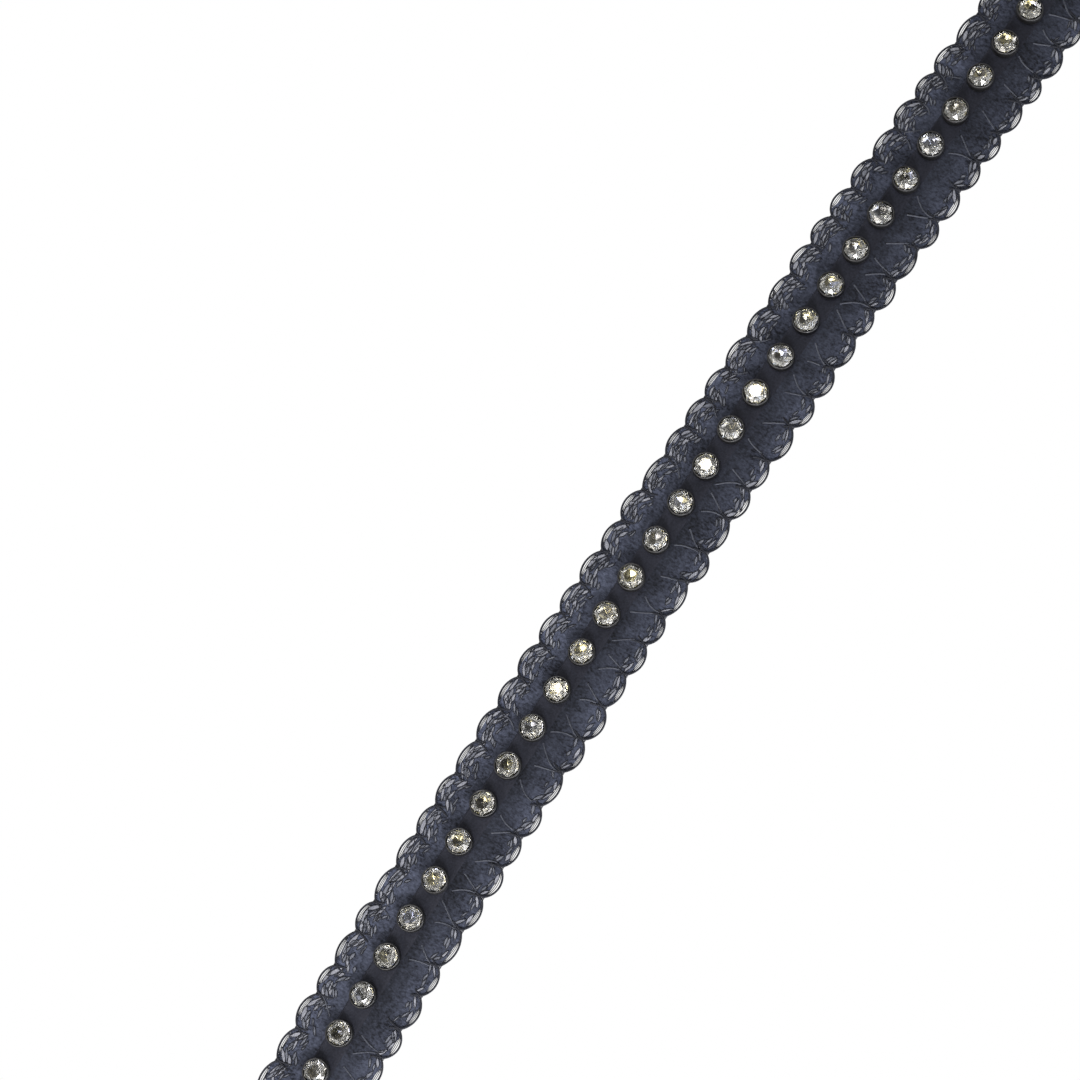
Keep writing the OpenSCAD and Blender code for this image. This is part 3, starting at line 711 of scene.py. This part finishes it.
crown_pad = padded_strip("crown_padding", on_crown, (-CROWN_END, CROWN_END), (-36, 19), 0, 5.2,
                         (-31.5, -18.7, 14.5), 0.75, "headpiece")
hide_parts("headpiece_pad")
nose_pad = padded_strip("noseband_padding", on_nose, (0, NOSE.ends[-1]), (-12, 12), -3.5, 1.5,
                        (-8.2, 8.2), 0.7, "noseband")
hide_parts("noseband_pad")

# rows of stitches, each from one point to another in its strap's coordinates
CHEEK_Y, HANGER_Y = -8, -26.75      # the straps' middles
INWARDS = (0, 0, -1)
rows = []
for y in (-15.2, 15.2):             # the crown's two edges
    rows.append(stitch_row((-CROWN_END + 3, y, OUTER_B + 0.15), (CROWN_END - 3, y, OUTER_B + 0.15)))
for y in (-31.5, 14.5):             # the crown pad's two edges
    rows.append(stitch_row((-CROWN_END + 5, y, 0.72), (CROWN_END - 5, y, 0.72), way=INWARDS))
for side in (1, -1):                # the cheek straps' turned-back ends
    for y in (CHEEK_Y - 6.3, CHEEK_Y + 6.3):
        rows.append(stitch_row((side * (SIDE_AT + 69), y, 0), (side * (SIDE_AT + 95), y, 0), way=INWARDS))
for y in (HANGER_Y - 4.6, HANGER_Y + 4.6):
    rows.append(stitch_row((SIDE_AT + 102, y, 0), (SIDE_AT + 125, y, 0), way=INWARDS))
for side in (1, -1):                # the cheek billets, the cheek straps and their ends at the bit
    for y in (CHEEK_Y - 6.8, CHEEK_Y + 6.8):
        rows.append(stitch_row((side * (SIDE_AT + 6), y, OUTER_B), (side * (SIDE_AT + 46), y, OUTER_B)))
        rows.append(stitch_row((side * (SIDE_AT + 142), y, INNER_B), (side * (SIDE_AT + 278), y, INNER_B)))
        rows.append(stitch_row((side * (SIDE_AT + 314), y, INNER_B), (side * (SIDE_AT + 344), y, INNER_B)))
sew("headpiece_stitching", rows, on_crown, "headpiece")
rows = [stitch_row((2, z, INNER_B), (NOSE.ends[-1] - 2, z, INNER_B)) for z in (-11.8, 11.8)]
rows += [stitch_row((4, z, -2.78), (NOSE.ends[-1] - 4, z, -2.78), way=INWARDS) for z in (-8.2, 8.2)]
sew("noseband_stitching", rows, on_nose, "noseband")
rows = [stitch_row((-LACE_END + 2, z, 0), (LACE_END - 2, z, 0), way=INWARDS, pitch=2.6, length=1.8)
        for z in (-4.9, 4.9)]
sew("browband_lining_stitching", rows, on_brow, "browband", 0.2)
LOOP_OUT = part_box("browband_loop_left")[1].x / MM
LOOP_FROM, LOOP_TO = -27, 9
rows = [stitch_row((side * LOOP_OUT, LOOP_FROM, BROW_Z + z), (side * LOOP_OUT, LOOP_TO, BROW_Z + z),
                   way=(side, 0, 0))
        for side in (1, -1) for z in (-4.7, 4.7)]
sew("browband_loop_stitching", rows, in_world, "browband", 0.22)

# ---------------------------------------------------------------- floor, light and camera
# the camera sees the floor as pure white, and the light sees a grey one
bpy.ops.mesh.primitive_plane_add(size=30, location=(0, 0, cad_box[0].z - 0.05))
floor = bpy.context.object
floor.name = "floor"
mat, tree, shader = nodes_of("floor_white")
shader.inputs["Base Color"].default_value = grey(0.42)
shader.inputs["Roughness"].default_value = 0.9
bright = add(tree, "ShaderNodeEmission", Color=grey(1), Strength=1.0)
rays = add(tree, "ShaderNodeLightPath")
both = add(tree, "ShaderNodeMixShader", [(0, rays.outputs["Is Camera Ray"]), (1, shader.outputs[0]),
                                         (2, bright.outputs[0])])
tree.links.new(both.outputs[0], tree.nodes["Material Output"].inputs["Surface"])
floor.data.materials.append(mat)

scene = bpy.context.scene
scene.view_settings.view_transform = "Standard"
world = bpy.data.worlds.new("studio")
scene.world = world
world.use_nodes = True
tree = world.node_tree
out = tree.nodes["World Output"]
tree.nodes.remove(tree.nodes["Background"])
seen = add(tree, "ShaderNodeBackground", Color=grey(1), Strength=1.0)
# a room's mix of dark corners, pale walls and windows, for the stones and the steel to reflect
where = add(tree, "ShaderNodeTexCoord").outputs["Generated"]
panes = add(tree, "ShaderNodeTexVoronoi", [("Vector", where)], Scale=3.4)
room = ramp(tree, panes.outputs["Color"], [
    (0.0, (0.02, 0.02, 0.018, 1)), (0.5, (0.16, 0.155, 0.14, 1)),
    (0.72, (0.5, 0.49, 0.46, 1)), (0.86, (1.0, 0.98, 0.9, 1))])
room.color_ramp.interpolation = "CONSTANT"
lit = add(tree, "ShaderNodeBackground", [("Color", room.outputs["Color"])], Strength=1.6)
path = add(tree, "ShaderNodeLightPath")
mix = add(tree, "ShaderNodeMixShader", [(0, path.outputs["Is Camera Ray"]), (1, lit.outputs[0]),
                                        (2, seen.outputs[0])])
tree.links.new(mix.outputs[0], out.inputs["Surface"])


def area_light(name, place, aim, size, power, colour=(1, 1, 1)):
    """A rectangular lamp at place, turned towards aim, that the camera doesn't see."""
    data = bpy.data.lights.new(name, "AREA")
    data.shape = "RECTANGLE"
    data.size, data.size_y = size
    data.energy = power
    data.color = colour
    obj = bpy.data.objects.new(name, data)
    bpy.context.scene.collection.objects.link(obj)
    obj.location = place
    obj.rotation_mode = "QUATERNION"
    obj.rotation_quaternion = (Vector(aim) - Vector(place)).to_track_quat("-Z", "Y")
    obj.visible_camera = False


def direction(azimuth, elevation):
    """The direction at these angles in degrees, where azimuth 0 is the front, -Y, and 90 is +X."""
    az, el = math.radians(azimuth), math.radians(elevation)
    return Vector((math.sin(az) * math.cos(el), -math.cos(az) * math.cos(el), math.sin(el)))


BROW_POINT = (0.0, BROW_Y * MM, BROW_Z * MM)
area_light("key", (1.0, -1.1, 0.85), BROW_POINT, (0.5, 0.5), 13.5)
area_light("fill", (1.35, -0.85, -0.1), BROW_POINT, (0.7, 0.7), 9, (1.0, 0.95, 0.88))
area_light("top", (0.1, 0.1, 1.4), (0, 0, -0.2), (0.9, 0.9), 14)
area_light("back", (0.4, 1.5, 0.5), (0, 0, -0.25), (0.9, 0.9), 16)
area_light("left", (1.7, 0.3, 0.2), (0, 0, -0.25), (0.4, 1.2), 5)
area_light("right", (-1.7, 0.3, 0.2), (0, 0, -0.25), (0.4, 1.2), 5)

# small lamps that a stone's face mirrors only when it happens to be tilted the right way
GLINT_AWAY, GLINT_SIZE, GLINT_POWER = 1.2, 0.08, 0.42
GLINTS = [(-14, -5, (1, 1, 1)), (-2, -16, (1, 0.92, 0.72)), (-17, -18, (0.78, 0.85, 1)),
          (-7, -9, (1, 0.95, 0.82))]
for i, (azimuth, elevation, colour) in enumerate(GLINTS):
    place = Vector(BROW_POINT) + GLINT_AWAY * direction(azimuth, elevation)
    area_light("glint_%d" % i, place, BROW_POINT, (GLINT_SIZE, GLINT_SIZE), GLINT_POWER, colour)

CAMERA_AWAY, CAMERA_AZ, CAMERA_EL, CAMERA_ROLL, CAMERA_LENS = 2.4, 8.88, 12.01, 122.2, 568.1
FROM_MIDDLE = Vector((0.01421, 0.0, -0.01507))    # from the browband's middle to the point it looks at
roll = math.radians(CAMERA_ROLL)
away = direction(CAMERA_AZ, CAMERA_EL)
target = Vector(BROW_POINT) + FROM_MIDDLE
right = away.cross(Vector((0, 0, -1))).normalized()
up = away.cross(right)
camera = bpy.data.objects.new("camera", bpy.data.cameras.new("camera"))
scene.collection.objects.link(camera)
camera.data.lens = CAMERA_LENS
camera.data.sensor_width = 36
camera.data.clip_start, camera.data.clip_end = 0.05, 50
camera.location = target + away * CAMERA_AWAY
x_axis = right * math.cos(roll) + up * math.sin(roll)
y_axis = -right * math.sin(roll) + up * math.cos(roll)
camera.rotation_mode = "QUATERNION"
camera.rotation_quaternion = Matrix((x_axis, y_axis, away)).transposed().to_quaternion()
scene.camera = camera
